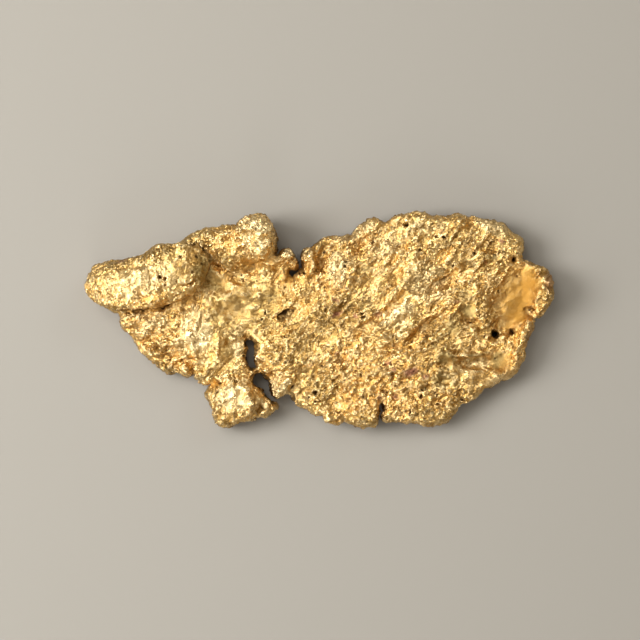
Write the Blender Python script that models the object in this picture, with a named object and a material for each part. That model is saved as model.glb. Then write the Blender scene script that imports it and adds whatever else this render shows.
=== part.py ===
"""A gold nugget that a river has beaten flat, lying on its back.

It is one piece of native gold: a broad plate on the right, torn along a crack from a thinner
sheet on the left, whose far edge is rolled over into a fat roll and a curled lobe. A small
block hangs from the sheet by a neck. The outline is extruded to a slab, the roll is swept
along its far edge, both are fused, and then the slab's two flat skins are beaten out to the
nugget's swellings, hollows, creases and ridges.

Lengths are in millimetres while the shape is worked out. +X runs along the nugget, +Y across
it and +Z out of its upper face, and the origin is on the surface it lies on, under the middle
of its box.
"""

import math

import bmesh
import bpy
import numpy as np
from mathutils import Matrix, Vector, kdtree, noise

# Driving dimensions, in millimetres.
LENGTH = 58.8
RIM_HEIGHT = 2.0  # the middle of the nugget's edge, above the surface it lies on
PLATE_RISE = 1.8  # upper skin above the rim
BELLY_DEPTH = 1.5  # lower skin below the rim, before the back's lumps
RIM_SHARE = 0.46  # how much of its thickness the gold keeps at its very edge
PLATE_EDGE = 0.75  # how far in from the edge the upper skin rounds over
BACK_EDGE = 2.0  # the same for the lower skin
EDGE_WANDER = 0.4  # share by which those widths wander along the edge
EDGE_WANDER_SIZE = 2.6
THINNEST = 0.9  # least gold left between the skins, away from the edge

SLAB_HALF = 1.0  # half the thickness of the slab, before it is beaten out
SLAB_MARGIN = 0.12  # what the slab's edge loses again when it is fused and simplified
FUSING_STEP = 0.2  # grain at which the slab and the roll are fused
LUMP_SIZE = 1.9  # lumps all over the gold, and finer ones on them
LUMP_HEIGHT = 0.32
KNOB_SIZE = 0.85
KNOB_HEIGHT = 0.2
MOST_TRIANGLES = 9600
FLAT_ENOUGH = 0.03  # corners this low on the back are worn flat

METRE = 0.001
GOLD = (0.83, 0.60, 0.24, 1.0)
GOLD_ROUGHNESS = 0.38

# The outline, clockwise from the tip of the roll, one named stretch after another.
ROLL_FAR_SIDE = [
    (-29.35, 4.9), (-29.2, 5.9), (-28.6, 6.7), (-27.3, 7.2), (-26.1, 7.55), (-24.45, 7.85),
    (-23.0, 8.1), (-21.6, 8.65), (-19.9, 9.1), (-19.25, 9.65), (-18.25, 9.65), (-17.35, 10.3),
]
LOBE_EDGE = [
    (-16.25, 11.0), (-15.05, 11.45), (-13.8, 11.75), (-13.2, 11.65), (-12.2, 12.1),
    (-11.3, 12.15), (-10.9, 11.95), (-10.5, 12.1), (-10.0, 12.55), (-8.7, 13.0), (-7.7, 13.3),
    (-7.05, 13.1), (-6.8, 12.4), (-6.2, 11.6), (-6.0, 10.5), (-5.95, 9.4), (-6.25, 8.3),
]
HOOK_EDGE = [
    (-5.65, 8.1), (-5.15, 8.15), (-4.85, 8.8), (-4.25, 9.05), (-3.65, 8.8), (-3.25, 7.9),
    (-3.0, 7.0), (-3.4, 6.6), (-4.2, 6.6), (-4.3, 6.05), (-4.05, 5.6), (-4.4, 4.95),
]
SHOULDER_EDGE = [
    (-3.7, 5.2), (-3.1, 5.7), (-2.65, 6.1), (-2.15, 6.3), (-2.05, 6.9), (-2.35, 7.7),
    (-2.35, 8.4), (-1.85, 9.0), (-1.25, 8.95), (-0.8, 9.5), (0.0, 10.1), (1.1, 10.5), (2.6, 10.6),
    (3.7, 10.85), (4.4, 11.35), (5.2, 12.1), (6.0, 12.65), (6.9, 12.8), (7.7, 12.5),
    (8.45, 12.3), (8.75, 12.8),
]
PLATE_FAR_EDGE = [
    (9.65, 13.1), (11.3, 13.3), (12.75, 13.55), (13.7, 13.4), (14.8, 13.1), (15.8, 13.1),
    (16.8, 13.4), (17.8, 13.25), (18.5, 12.7), (19.05, 12.1), (18.95, 12.85), (20.4, 12.85),
    (22.0, 12.55), (23.1, 12.3), (23.6, 11.85), (23.8, 11.3), (24.9, 10.7), (25.45, 10.0),
    (25.4, 9.0), (25.35, 8.2),
]
RIM_LOBE_EDGE = [
    (26.2, 7.6), (27.2, 7.2), (28.4, 6.85), (29.0, 6.1), (29.45, 5.0), (29.45, 4.1),
    (29.1, 2.8), (28.5, 1.8), (27.7, 0.65), (27.1, 0.5), (26.7, 0.2), (26.7, -0.8),
]
RIM_EDGE = [
    (26.4, -1.5), (25.95, -2.6), (25.65, -3.6), (25.45, -4.8), (25.0, -5.5), (24.9, -6.0),
    (24.2, -6.8), (23.7, -7.2), (22.8, -7.35), (21.7, -8.3), (20.9, -8.35), (19.9, -9.2),
    (18.8, -10.1), (17.9, -10.25), (17.1, -10.85), (16.9, -11.7), (16.3, -12.5), (15.3, -12.85),
]
PLATE_NEAR_EDGE = [
    (13.8, -13.0), (12.15, -12.65), (11.0, -12.75), (9.65, -12.5), (8.1, -12.45), (7.9, -11.9),
    (8.3, -11.4), (8.1, -10.8), (7.65, -9.85), (7.15, -10.9), (7.05, -12.2), (6.95, -12.85),
    (6.3, -13.25), (5.4, -13.4), (4.6, -13.05), (3.6, -12.75), (2.85, -12.1), (2.4, -12.7),
    (1.3, -12.95), (0.6, -12.4), (0.35, -11.85), (-0.6, -11.9), (-1.55, -11.3), (-2.45, -10.75),
    (-3.35, -10.15), (-3.65, -9.5), (-4.05, -9.15), (-4.85, -9.45), (-5.55, -9.75), (-6.2, -9.2),
    (-6.4, -8.3), (-6.3, -7.1), (-6.4, -6.3), (-6.65, -7.1), (-7.0, -7.25), (-7.4, -6.5),
    (-7.85, -6.6), (-7.95, -6.3), (-8.05, -5.9), (-8.05, -5.2),
]
CRACK_EDGE = [
    (-8.4, -4.5), (-8.4, -3.9), (-8.3, -3.3), (-8.6, -2.5), (-9.35, -2.2), (-9.8, -2.75),
    (-9.45, -3.25), (-9.5, -4.0), (-9.75, -4.35), (-9.5, -5.1), (-9.3, -5.95), (-8.75, -6.2),
]
BLOCK_EDGE = [
    (-8.4, -6.35), (-8.35, -6.75), (-8.6, -7.2), (-8.65, -7.6), (-8.4, -8.2), (-7.7, -8.75),
    (-7.35, -9.5), (-6.75, -10.05), (-6.35, -10.4), (-5.85, -10.5), (-5.6, -10.9), (-6.15, -11.4),
    (-6.85, -11.9), (-7.55, -12.05), (-8.1, -11.9), (-8.9, -12.5), (-10.1, -12.65),
    (-11.2, -13.15), (-12.3, -13.35), (-13.1, -13.0), (-13.5, -12.1), (-13.75, -11.1),
    (-14.25, -10.0), (-14.35, -9.5), (-14.0, -8.9), (-13.4, -8.35), (-13.1, -8.1),
    (-12.5, -8.15), (-12.25, -7.8), (-12.5, -7.5),
]
SHEET_NEAR_EDGE = [
    (-13.5, -7.55), (-14.5, -7.7), (-15.0, -7.9), (-15.35, -7.4), (-15.65, -6.5), (-16.15, -5.9),
    (-16.2, -5.2), (-16.45, -4.7), (-16.5, -5.4), (-16.5, -6.2), (-16.75, -6.75),
    (-17.35, -6.85), (-17.95, -6.4), (-19.25, -6.4), (-20.2, -6.1), (-21.1, -5.3), (-21.9, -4.4),
    (-23.0, -3.3), (-23.85, -2.2), (-24.35, -1.3), (-24.9, -0.8), (-25.3, 0.2), (-25.5, 1.0),
]
ROLL_NEAR_SIDE = [
    (-26.2, 1.1), (-26.65, 1.6), (-27.65, 2.1), (-28.45, 2.5), (-28.8, 3.2), (-29.15, 4.1),
]
OUTLINE = (
    ROLL_FAR_SIDE + LOBE_EDGE + HOOK_EDGE + SHOULDER_EDGE + PLATE_FAR_EDGE + RIM_LOBE_EDGE
    + RIM_EDGE + PLATE_NEAR_EDGE + CRACK_EDGE + BLOCK_EDGE + SHEET_NEAR_EDGE + ROLL_NEAR_SIDE
)
OUTLINE_SMOOTHNESS = 4  # steps between two of the outline's corners

# Holes worn right through the plate's thin right-hand corner.
THROUGH_HOLES = [
    [(21.7, -1.45), (22.4, -1.35), (22.5, -1.9), (22.1, -2.35), (21.6, -2.2)],
    [(24.0, -0.8), (24.6, -1.0), (24.3, -1.5), (24.0, -2.1), (23.5, -1.9), (23.8, -1.35)],
]

# The roll, as stations along its middle: x, y and radius.
ROLL = [
    (-28.8, 4.5, 1.1), (-28.15, 4.45, 2.15), (-26.45, 4.35, 3.0), (-24.15, 4.55, 3.3),
    (-21.4, 5.1, 3.6), (-18.85, 6.0, 3.8), (-17.5, 6.5, 3.5), (-16.6, 6.85, 2.7),
    (-15.95, 7.1, 1.3),
]
ROLL_FLATNESS = 0.86  # its height is this share of its width
ROLL_STANDS = 2.7  # it is beaten down to about this height above the slab
ROLL_SMOOTHNESS = 8

# Swellings of the upper skin: centre, half lengths, turn in degrees, height.
MOUNDS = [
    ((-6.9, 10.4), (5.8, 4.6), 10, 1.4),  # body of the curled lobe, higher at its outer side
    ((-10.9, -10.2), (4.6, 4.0), 20, 1.0),  # body of the hanging block
    ((-4.1, 8.0), (1.3, 1.3), 0, 0.6),  # hook
    ((-1.55, 7.4), (1.3, 1.9), 0, 0.5),  # knuckle across the notch from the hook
    ((28.0, 3.6), (2.0, 3.4), -12, 0.75),  # lobe on the rim
    ((6.7, 11.7), (2.0, 1.3), 15, 0.45),
    ((12.45, 12.4), (2.6, 1.1), 5, 0.35),
    ((17.2, 12.4), (1.5, 1.1), 0, 0.5),
    ((22.3, 11.2), (2.3, 1.5), -25, 0.45),
    ((1.4, -12.0), (1.5, 1.1), 0, 0.5),
    ((5.4, -12.0), (2.2, 1.5), 0, 0.5),
    ((-4.5, -8.3), (2.2, 1.3), 40, 0.6),
    ((11.95, -11.3), (3.5, 1.6), 0, 0.3),
    ((-17.15, -5.9), (1.1, 0.9), 0, 0.4),
    ((-6.85, -11.1), (1.2, 0.9), 15, 0.35),
    ((9.35, 3.6), (3.6, 1.0), 50, 0.35),
    ((11.4, 7.5), (1.3, 4.0), -12, 0.35),
    ((2.8, 4.2), (1.6, 3.4), -15, 0.3),
]

# Hollows of the upper skin, written the same way, with their depth.
HOLLOWS = [
    ((-14.6, 7.7), (2.2, 3.8), 28, 0.5),  # crevice between roll and lobe
    ((-13.5, 4.6), (2.6, 1.6), -20, 0.5),
    ((24.3, 2.7), (3.6, 5.6), -14, 0.75),  # smooth basin inside the rim
    ((23.0, -0.6), (2.2, 1.3), 15, 0.7),
    ((22.0, -5.0), (1.6, 1.9), 0, 0.55),
    ((18.9, -5.4), (2.3, 0.7), 0, 0.5),
    ((15.6, -5.3), (1.1, 1.1), 0, 0.45),
    ((15.5, -7.6), (1.2, 0.9), 0, 0.45),
    ((18.4, 1.2), (1.4, 1.7), -10, 0.55),
    ((0.3, 7.6), (1.0, 2.2), -5, 0.5),
    ((6.1, 6.4), (1.5, 0.8), 15, 0.3),
    ((-11.3, -4.0), (2.4, 1.9), -20, 0.2),  # slope down into the crack
    ((-8.5, -3.4), (0.8, 0.9), 0, 0.9),
    ((-7.7, -5.9), (0.8, 1.0), 0, 0.7),
    ((-9.3, 1.8), (4.5, 1.8), 5, 0.3),
    ((-3.65, -8.4), (0.7, 0.7), 0, 0.45),
    ((-7.7, -11.0), (0.8, 0.8), 0, 0.55),
    ((15.4, 8.4), (1.9, 0.9), 52, 0.4),
    ((20.8, 9.4), (1.9, 0.9), -15, 0.4),
    ((14.6, 4.5), (1.7, 0.8), 40, 0.4),
]

# Creases pressed into the upper skin: points, width, depth.
CREASES = [
    ([(4.0, -1.3), (6.0, -0.5), (7.8, 0.8), (9.45, 2.4), (10.5, 3.4)], 0.75, 0.5),
    ([(7.8, -3.7), (9.25, -3.1), (10.7, -3.2), (11.85, -1.9), (13.4, -0.8), (15.0, 0.3)], 0.7, 0.4),
    ([(15.4, 4.9), (16.9, 5.8), (19.0, 6.3), (21.4, 7.2)], 0.6, 0.35),
    ([(-23.35, -2.8), (-21.9, -2.4), (-20.4, -1.7)], 0.55, 0.4),
    ([(-11.6, -2.9), (-10.3, -2.4), (-9.2, -2.1)], 0.5, 0.45),
    ([(-9.2, 6.55), (-8.2, 6.55), (-7.35, 7.0), (-6.65, 7.7)], 0.5, 0.8),
    ([(-13.4, 7.4), (-12.7, 6.6), (-12.1, 5.7), (-11.0, 5.5)], 0.5, 0.5),
    ([(-5.45, 4.9), (-4.45, 4.1), (-3.85, 3.2)], 0.5, 0.4),
    ([(-4.95, 0.4), (-4.45, 0.9), (-3.65, 1.2)], 0.4, 0.7),
    ([(17.6, -4.9), (19.2, -4.85), (20.9, -4.95)], 0.4, 0.35),
    ([(18.2, -6.0), (20.8, -5.9)], 0.4, 0.25),
    ([(-18.45, -5.7), (-17.45, -5.1), (-16.65, -4.8)], 0.4, 0.4),
    ([(28.1, 6.15), (28.7, 6.1)], 0.35, 0.4),
    ([(24.1, -4.5), (24.9, -4.3)], 0.35, 0.45),
    ([(26.1, 1.4), (26.7, 0.7)], 0.4, 0.7),
    ([(18.3, 0.0), (19.3, -0.15), (19.9, -0.7)], 0.45, 0.5),
]

# Sharp ridges and fold lips standing on the upper skin: points, width, height.
RIDGES = [
    (
        [(-16.85, 9.9), (-14.5, 10.8), (-11.9, 11.2), (-8.9, 12.0), (-6.9, 10.9), (-6.7, 9.0)],
        1.3,
        0.9,
    ),
    ([(27.4, 5.6), (28.1, 4.6), (28.1, 3.0), (27.3, 1.4)], 1.0, 0.25),
    ([(26.2, -0.3), (25.5, -1.6), (25.1, -3.0), (24.7, -4.0)], 0.8, 1.1),
    ([(24.6, -5.0), (23.9, -6.1), (22.4, -6.9)], 0.8, 0.7),
    ([(-16.45, -1.6), (-16.25, -3.2), (-15.95, -4.8)], 0.7, 0.5),
    ([(-12.6, -2.3), (-13.0, -3.6), (-13.2, -5.0)], 0.7, 0.35),
    ([(-12.4, -10.2), (-11.7, -9.3), (-11.2, -8.3)], 0.8, 0.35),
    ([(-9.7, -8.3), (-9.1, -9.1), (-8.7, -9.9)], 0.8, 0.35),
    ([(-9.8, -11.5), (-8.9, -10.8)], 0.6, 0.3),
    ([(-1.15, 8.3), (-0.95, 7.2), (-1.15, 6.1)], 0.5, 0.5),
    ([(-4.85, 2.4), (-3.45, 3.4), (-1.85, 4.6)], 0.8, 0.4),
    ([(6.7, -0.6), (8.4, 0.6), (10.05, 2.2), (11.3, 3.6)], 0.6, 0.35),
    ([(16.2, 0.2), (16.4, -1.4), (16.0, -3.0)], 0.6, 0.3),
    ([(15.0, -4.1), (17.2, -4.3), (20.2, -4.4)], 0.5, 0.35),
    ([(18.2, -7.2), (20.0, -6.7), (22.0, -6.4)], 0.6, 0.3),
]

# Where the gold, both skins with the edge between them, bends up: centre, half lengths,
# turn in degrees, lift.
BENDS = [
    ((9.5, 0.5), (15.5, 14.5), 0, 0.9),
    ((-1.0, -9.5), (9.0, 6.0), -20, -0.5),
    ((17.5, 10.5), (8.5, 5.0), -10, 0.6),
    ((20.5, -7.0), (8.0, 6.0), 35, -0.4),
    ((-21.5, 3.5), (13.0, 8.0), 15, 1.1),
    ((-9.5, 11.0), (8.0, 4.0), 10, 1.1),
    ((-13.4, -1.6), (4.6, 4.6), 0, 0.6),
    ((28.6, 3.8), (4.0, 5.5), 0, 0.6),
    ((-10.5, -10.5), (5.0, 4.0), 0, 0.3),
    ((12.0, 13.0), (9.0, 3.5), 0, 0.4),
    ((5.0, -12.5), (7.0, 3.0), 0, 0.35),
]

# Lumps on the back that reach the surface it lies on: centre, half lengths, turn, depth.
BACK_LUMPS = [
    ((-22.6, 4.6), (8.5, 4.4), 14, 2.4),
    ((-9.6, 9.4), (4.8, 3.6), 10, 2.0),
    ((-10.4, -10.2), (3.6, 3.2), 20, 1.5),
    ((-17.0, -2.4), (5.0, 3.6), -30, 1.4),
    ((0.6, 1.0), (6.5, 4.6), 35, 1.5),
    ((17.4, 7.2), (7.5, 5.0), -20, 2.0),
    ((15.0, -7.4), (7.5, 4.6), 15, 1.4),
    ((25.2, -0.4), (3.6, 6.0), -10, 1.2),
    ((5.4, -9.4), (4.0, 3.0), -10, 1.5),
    ((6.6, 8.6), (4.0, 3.0), 25, 1.3),
]
BACK_HOLLOWS = [
    ((-6.5, 3.6), (3.6, 2.2), -30, 0.55),
    ((9.5, -4.2), (3.2, 2.4), 50, 0.55),
    ((11.4, 4.4), (2.4, 4.2), 30, 0.5),
    ((-3.0, -6.8), (2.2, 2.6), 20, 0.45),
    ((21.4, 1.4), (2.0, 3.2), 15, 0.5),
    ((-12.9, 1.4), (2.4, 3.0), 40, 0.45),
]

# Crumpling left by the hammering: the grain runs up to the right on the plate.
PLATE_GRAIN = math.radians(47)
SHEET_GRAIN = math.radians(12)
GRAIN_TURNS_AT = -5.0
GRAIN_TURN_WIDTH = 4.0
GRAIN_STRETCH = 1.7
CRUMPLE_SIZE = 1.25
CRUMPLE_RISE = 0.17
BACK_CRUMPLE_SIZE = 2.6
BACK_CRUMPLE_RISE = 0.17
CRUMPLE_OCTAVES = 3
CRUMPLE_FADE = 0.9  # how fast the finer octaves weaken
CRUMPLE_STEP = 2.1  # how much finer each octave is than the last
RIM_WANDER_SIZE = 5.0
RIM_WANDER = 0.28
DOME_FULLNESS = 1.25

# Where each kind of unevenness is cut from the same endless noise.
UPPER_CUT = 1.3
RIM_CUT = 3.7
EDGE_CUT = 5.9
BACK_CUT = 8.1


def inward_share(points, centre, half_lengths, turn):
    """1 in the middle of an ellipse, falling to 0 at its edge and beyond it."""
    turn = math.radians(turn)
    shift = points - centre
    along = shift @ (math.cos(turn), math.sin(turn)) / half_lengths[0]
    across = shift @ (-math.sin(turn), math.cos(turn)) / half_lengths[1]
    return np.clip(1 - along ** 2 - across ** 2, 0, 1)


def oval(points, centre, half_lengths, turn, height):
    """A swelling with a broad top and soft sides."""
    inward = inward_share(points, centre, half_lengths, turn)
    return height * inward ** 2 * (3 - 2 * inward)


def dome(points, centre, half_lengths, turn, height):
    """A swelling that is round all the way up."""
    return height * inward_share(points, centre, half_lengths, turn) ** DOME_FULLNESS


def bank(points, path, width, height):
    """A bank of that height along a path, fading over its width on both sides."""
    nearest = np.full(len(points), math.inf)
    for start, end in zip(path, path[1:]):
        run = np.subtract(end, start)
        share = np.clip((points - start) @ run / (run @ run), 0, 1)
        away = np.linalg.norm(points - start - share[:, None] * run, axis=1)
        nearest = np.minimum(nearest, away)
    return height * np.exp(-((nearest / width) ** 2))


def crumple(points, size, cut):
    """Rumpling that follows the hammered grain, about -1 to 1."""
    turned = 1 / (1 + np.exp((GRAIN_TURNS_AT - points[:, 0]) / GRAIN_TURN_WIDTH))
    angle = SHEET_GRAIN + (PLATE_GRAIN - SHEET_GRAIN) * turned
    along = (points[:, 0] * np.cos(angle) + points[:, 1] * np.sin(angle)) / GRAIN_STRETCH
    across = points[:, 1] * np.cos(angle) - points[:, 0] * np.sin(angle)
    return np.array([
        noise.fractal(
            Vector((u / size, v / size, cut)), CRUMPLE_FADE, CRUMPLE_STEP, CRUMPLE_OCTAVES
        )
        for u, v in zip(along, across)
    ])


def wander(points, size, cut):
    """A slow unevenness, about -1 to 1."""
    return np.array([noise.noise(Vector((x / size, y / size, cut))) for x, y in points])


def edge_share(points, shore, width):
    """How much of its thickness the gold has, from the rim's share to all of it."""
    away = np.array([shore.find((x, y, 0))[2] for x, y in points])
    width = width * (1 + EDGE_WANDER * wander(points, EDGE_WANDER_SIZE, EDGE_CUT))
    rounded = np.sqrt(1 - (1 - np.clip(away / width, 0, 1)) ** 2)
    return RIM_SHARE + (1 - RIM_SHARE) * rounded


def rim_height(points):
    """The middle of the nugget's edge, carried on inwards."""
    height = RIM_HEIGHT + RIM_WANDER * wander(points, RIM_WANDER_SIZE, RIM_CUT)
    for bend in BENDS:
        height += dome(points, *bend)
    return height


def upper_skin(points, shore):
    """Height of the upper skin."""
    rise = PLATE_RISE + CRUMPLE_RISE * crumple(points, CRUMPLE_SIZE, UPPER_CUT)
    for mound in MOUNDS:
        rise += oval(points, *mound)
    for hollow in HOLLOWS:
        rise -= oval(points, *hollow)
    for path, width, depth in CREASES:
        rise -= bank(points, path, width, depth)
    for path, width, height in RIDGES:
        rise += bank(points, path, width, height)
    rise = np.maximum(rise, THINNEST / 2)
    return rim_height(points) + edge_share(points, shore, PLATE_EDGE) * rise


def lower_skin(points, shore):
    """Height of the lower skin."""
    fall = BELLY_DEPTH + BACK_CRUMPLE_RISE * crumple(points, BACK_CRUMPLE_SIZE, BACK_CUT)
    for lump in BACK_LUMPS:
        fall += dome(points, *lump)
    for hollow in BACK_HOLLOWS:
        fall -= dome(points, *hollow)
    fall = np.maximum(fall, THINNEST / 2)
    return rim_height(points) - edge_share(points, shore, BACK_EDGE) * fall


def new_object(name, data):
    thing = bpy.data.objects.new(name, data)
    bpy.context.scene.collection.objects.link(thing)
    return thing


def as_mesh(thing):
    """The object as its modifiers leave it, as a mesh of its own. The object goes."""
    bpy.context.view_layer.update()
    shown = thing.evaluated_get(bpy.context.evaluated_depsgraph_get())
    mesh = bpy.data.meshes.new_from_object(shown)
    bpy.data.objects.remove(thing)
    return mesh


def slab():
    """The outline, less the holes worn through it, filled and extruded."""
    curve = bpy.data.curves.new("outline", "CURVE")
    curve.dimensions = "2D"
    curve.fill_mode = "BOTH"
    curve.resolution_u = OUTLINE_SMOOTHNESS
    curve.extrude = SLAB_HALF
    curve.offset = SLAB_MARGIN
    for corners in [OUTLINE, *THROUGH_HOLES]:
        spline = curve.splines.new("BEZIER")
        spline.bezier_points.add(len(corners) - 1)
        for point, corner in zip(spline.bezier_points, corners):
            point.co = (*corner, 0)
            point.handle_left_type = point.handle_right_type = "AUTO"
        spline.use_cyclic_u = True
    return as_mesh(new_object("slab", curve))


def roll():
    """The rolled edge: a tube through the roll's stations, lying level with the slab's back."""
    curve = bpy.data.curves.new("roll", "CURVE")
    curve.dimensions = "3D"
    curve.resolution_u = ROLL_SMOOTHNESS
    curve.bevel_depth = 1.0
    curve.bevel_resolution = ROLL_SMOOTHNESS
    curve.use_fill_caps = True
    spline = curve.splines.new("BEZIER")
    spline.bezier_points.add(len(ROLL) - 1)
    for point, (x, y, radius) in zip(spline.bezier_points, ROLL):
        point.co = (x, y, radius - SLAB_HALF / ROLL_FLATNESS)
        point.radius = radius
        point.handle_left_type = point.handle_right_type = "AUTO"
    mesh = as_mesh(new_object("roll", curve))
    mesh.transform(Matrix.Diagonal((1, 1, ROLL_FLATNESS, 1)))
    return mesh


def fuse(meshes):
    """One closed skin around all of the meshes."""
    joined = bmesh.new()
    for mesh in meshes:
        joined.from_mesh(mesh)
    bmesh.ops.recalc_face_normals(joined, faces=joined.faces)
    mesh = bpy.data.meshes.new("fused")
    joined.to_mesh(mesh)
    joined.free()
    rough = new_object("fused", mesh)
    remesh = rough.modifiers.new("fuse", "REMESH")
    remesh.mode = "VOXEL"
    remesh.voxel_size = FUSING_STEP
    return as_mesh(rough)


def beat_out(mesh, shore):
    """Carries the slab's flat skins, and what stands on them, to the nugget's own heights."""
    corners = np.empty(len(mesh.vertices) * 3, dtype=np.float32)
    mesh.vertices.foreach_get("co", corners)
    corners = corners.reshape(-1, 3).astype(float)
    flat, height = corners[:, :2], corners[:, 2]
    top, back = upper_skin(flat, shore), lower_skin(flat, shore)
    share = np.clip((height + SLAB_HALF) / (2 * SLAB_HALF), 0, 1)
    above = ROLL_STANDS * np.tanh(np.maximum(height - SLAB_HALF, 0) / ROLL_STANDS)
    below = np.minimum(height + SLAB_HALF, 0)
    corners[:, 2] = back + (top - back) * share + above + below
    mesh.vertices.foreach_set("co", corners.ravel())


def roughen(mesh):
    """Lumps and knobs all over, the sides and the roll too."""
    smooth = new_object("smooth", mesh)
    for name, size, height in (
        ("lumps", LUMP_SIZE, LUMP_HEIGHT),
        ("knobs", KNOB_SIZE, KNOB_HEIGHT),
    ):
        clouds = bpy.data.textures.new(name, "CLOUDS")
        clouds.noise_scale = size
        swell = smooth.modifiers.new(name, "DISPLACE")
        swell.texture = clouds
        swell.strength = height
    return as_mesh(smooth)


def wear_flat(mesh, ground):
    """Wears off whatever is lower than the ground, which it then lies on."""
    for vertex in mesh.vertices:
        vertex.co.z = max(vertex.co.z, ground)


def simplify(mesh):
    """Fewer, larger facets, more of them where the skin bends."""
    fine = new_object("fine", mesh)
    split = fine.modifiers.new("triangles", "TRIANGULATE")
    split.quad_method = "BEAUTY"
    fewer = fine.modifiers.new("fewer", "DECIMATE")
    fewer.ratio = MOST_TRIANGLES / sum(len(face.vertices) - 2 for face in mesh.polygons)
    fewer.use_collapse_triangulate = True
    return as_mesh(fine)


def keep_largest_piece(skin):
    """Removes crumbs that came loose where the gold is torn."""
    waiting = set(skin.verts)
    pieces = []
    while waiting:
        piece, edge = set(), [waiting.pop()]
        while edge:
            vertex = edge.pop()
            piece.add(vertex)
            joined = {side.other_vert(vertex) for side in vertex.link_edges} & waiting
            waiting -= joined
            edge.extend(joined)
        pieces.append(piece)
    pieces.sort(key=len)
    for crumb in pieces[:-1]:
        bmesh.ops.delete(skin, geom=list(crumb), context="VERTS")


def gold_material():
    material = bpy.data.materials.new("native_gold")
    material.use_nodes = True
    shader = material.node_tree.nodes["Principled BSDF"]
    shader.inputs["Base Color"].default_value = GOLD
    shader.inputs["Metallic"].default_value = 1.0
    shader.inputs["Roughness"].default_value = GOLD_ROUGHNESS
    return material


def build_nugget():
    """The finished nugget, in metres, standing on its origin."""
    flat = slab()
    shore = kdtree.KDTree(len(flat.vertices))
    for vertex in flat.vertices:
        shore.insert((vertex.co.x, vertex.co.y, 0), vertex.index)
    shore.balance()
    mesh = fuse([flat, roll()])
    beat_out(mesh, shore)
    mesh = roughen(mesh)
    wear_flat(mesh, 0.0)
    mesh = simplify(mesh)

    skin = bmesh.new()
    skin.from_mesh(mesh)
    keep_largest_piece(skin)
    for vertex in skin.verts:
        if vertex.co.z < FLAT_ENOUGH:
            vertex.co.z = 0.0
    low = [min(vertex.co[axis] for vertex in skin.verts) for axis in range(3)]
    high = [max(vertex.co[axis] for vertex in skin.verts) for axis in range(3)]
    middle = Vector(((low[0] + high[0]) / 2, (low[1] + high[1]) / 2, low[2]))
    scale = METRE * LENGTH / (high[0] - low[0])
    bmesh.ops.translate(skin, verts=skin.verts, vec=-middle)
    bmesh.ops.scale(skin, verts=skin.verts, vec=(scale, scale, scale))
    bmesh.ops.recalc_face_normals(skin, faces=skin.faces)
    skin.to_mesh(mesh)
    skin.free()

    mesh.materials.clear()
    mesh.materials.append(gold_material())
    mesh.shade_smooth()
    mesh.name = "nugget"
    return new_object("nugget", mesh)


def main():
    for old in list(bpy.data.objects):
        bpy.data.objects.remove(old)
    nugget = build_nugget()
    print(len(nugget.data.polygons), "triangles")


main()
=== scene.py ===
# %% [markdown]
# # A gold nugget, beaten flat by a river
#
# Native gold is soft. A river's gravel hammers a lump of it into a thin plate, folds its edges
# over and presses a skin of tiny dents, ridges and pits into it. This lesson dresses one such
# nugget. Its large forms, the plate, the roll along its edge and the torn crack, are already
# there as a plain solid with flat facets. What is left to make is its skin.
#
# What goes all over a surface can be made in three places: in the mesh, in the shading normal or
# in the colour. The rule here is by size. What is wider than a hair or two is in the mesh, so
# that it casts its own shade and shows along the outline. The shading normal adds the glitter
# of the smallest facets, and colour adds the stains.

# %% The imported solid
import math

import bpy
import numpy as np
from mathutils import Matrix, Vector


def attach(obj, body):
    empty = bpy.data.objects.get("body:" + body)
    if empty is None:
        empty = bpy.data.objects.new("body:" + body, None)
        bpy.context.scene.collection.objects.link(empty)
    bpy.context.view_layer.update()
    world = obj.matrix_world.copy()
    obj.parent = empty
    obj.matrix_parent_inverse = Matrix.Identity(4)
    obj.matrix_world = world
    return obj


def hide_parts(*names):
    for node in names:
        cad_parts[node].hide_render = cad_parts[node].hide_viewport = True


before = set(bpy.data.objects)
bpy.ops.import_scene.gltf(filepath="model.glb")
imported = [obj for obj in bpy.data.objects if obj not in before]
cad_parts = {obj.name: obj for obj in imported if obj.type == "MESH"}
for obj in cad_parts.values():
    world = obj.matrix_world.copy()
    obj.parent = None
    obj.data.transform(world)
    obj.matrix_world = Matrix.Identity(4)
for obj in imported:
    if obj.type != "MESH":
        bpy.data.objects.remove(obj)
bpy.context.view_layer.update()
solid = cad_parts["nugget"]
MM = 0.001


# %% [markdown]
# ## The camera
#
# Small specimens are pictured from straight above with a long lens, which keeps the outline
# true. The nugget lies on its back, so the camera hangs over it and looks down. A long way off,
# a 100 mm lens sees 80 mm of the floor, and the nugget fills three quarters of the width.

# %% The camera
VIEW_WIDTH = 80 * MM
AIM = Vector((0.0, 0.08, 3.0)) * MM
LENS, SENSOR = 100, 36
NEAREST_SEEN = 10 * MM


def hang_camera():
    camera = bpy.data.objects.new("camera", bpy.data.cameras.new("camera"))
    camera.data.lens, camera.data.sensor_width = LENS, SENSOR
    camera.data.clip_start = NEAREST_SEEN
    camera.location = AIM + Vector((0, 0, VIEW_WIDTH * LENS / SENSOR))
    bpy.context.scene.collection.objects.link(camera)
    bpy.context.scene.camera = camera
    return camera


camera = hang_camera()
print("camera at", [round(v / MM) for v in camera.location], "mm")

# %% [markdown]
# ## Shader maths in plain sight
#
# The nodes of a material or a world are easier to follow as a formula than as a net of boxes. The
# small class below holds one socket, and its operators add the Math nodes that work out the sum.

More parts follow.
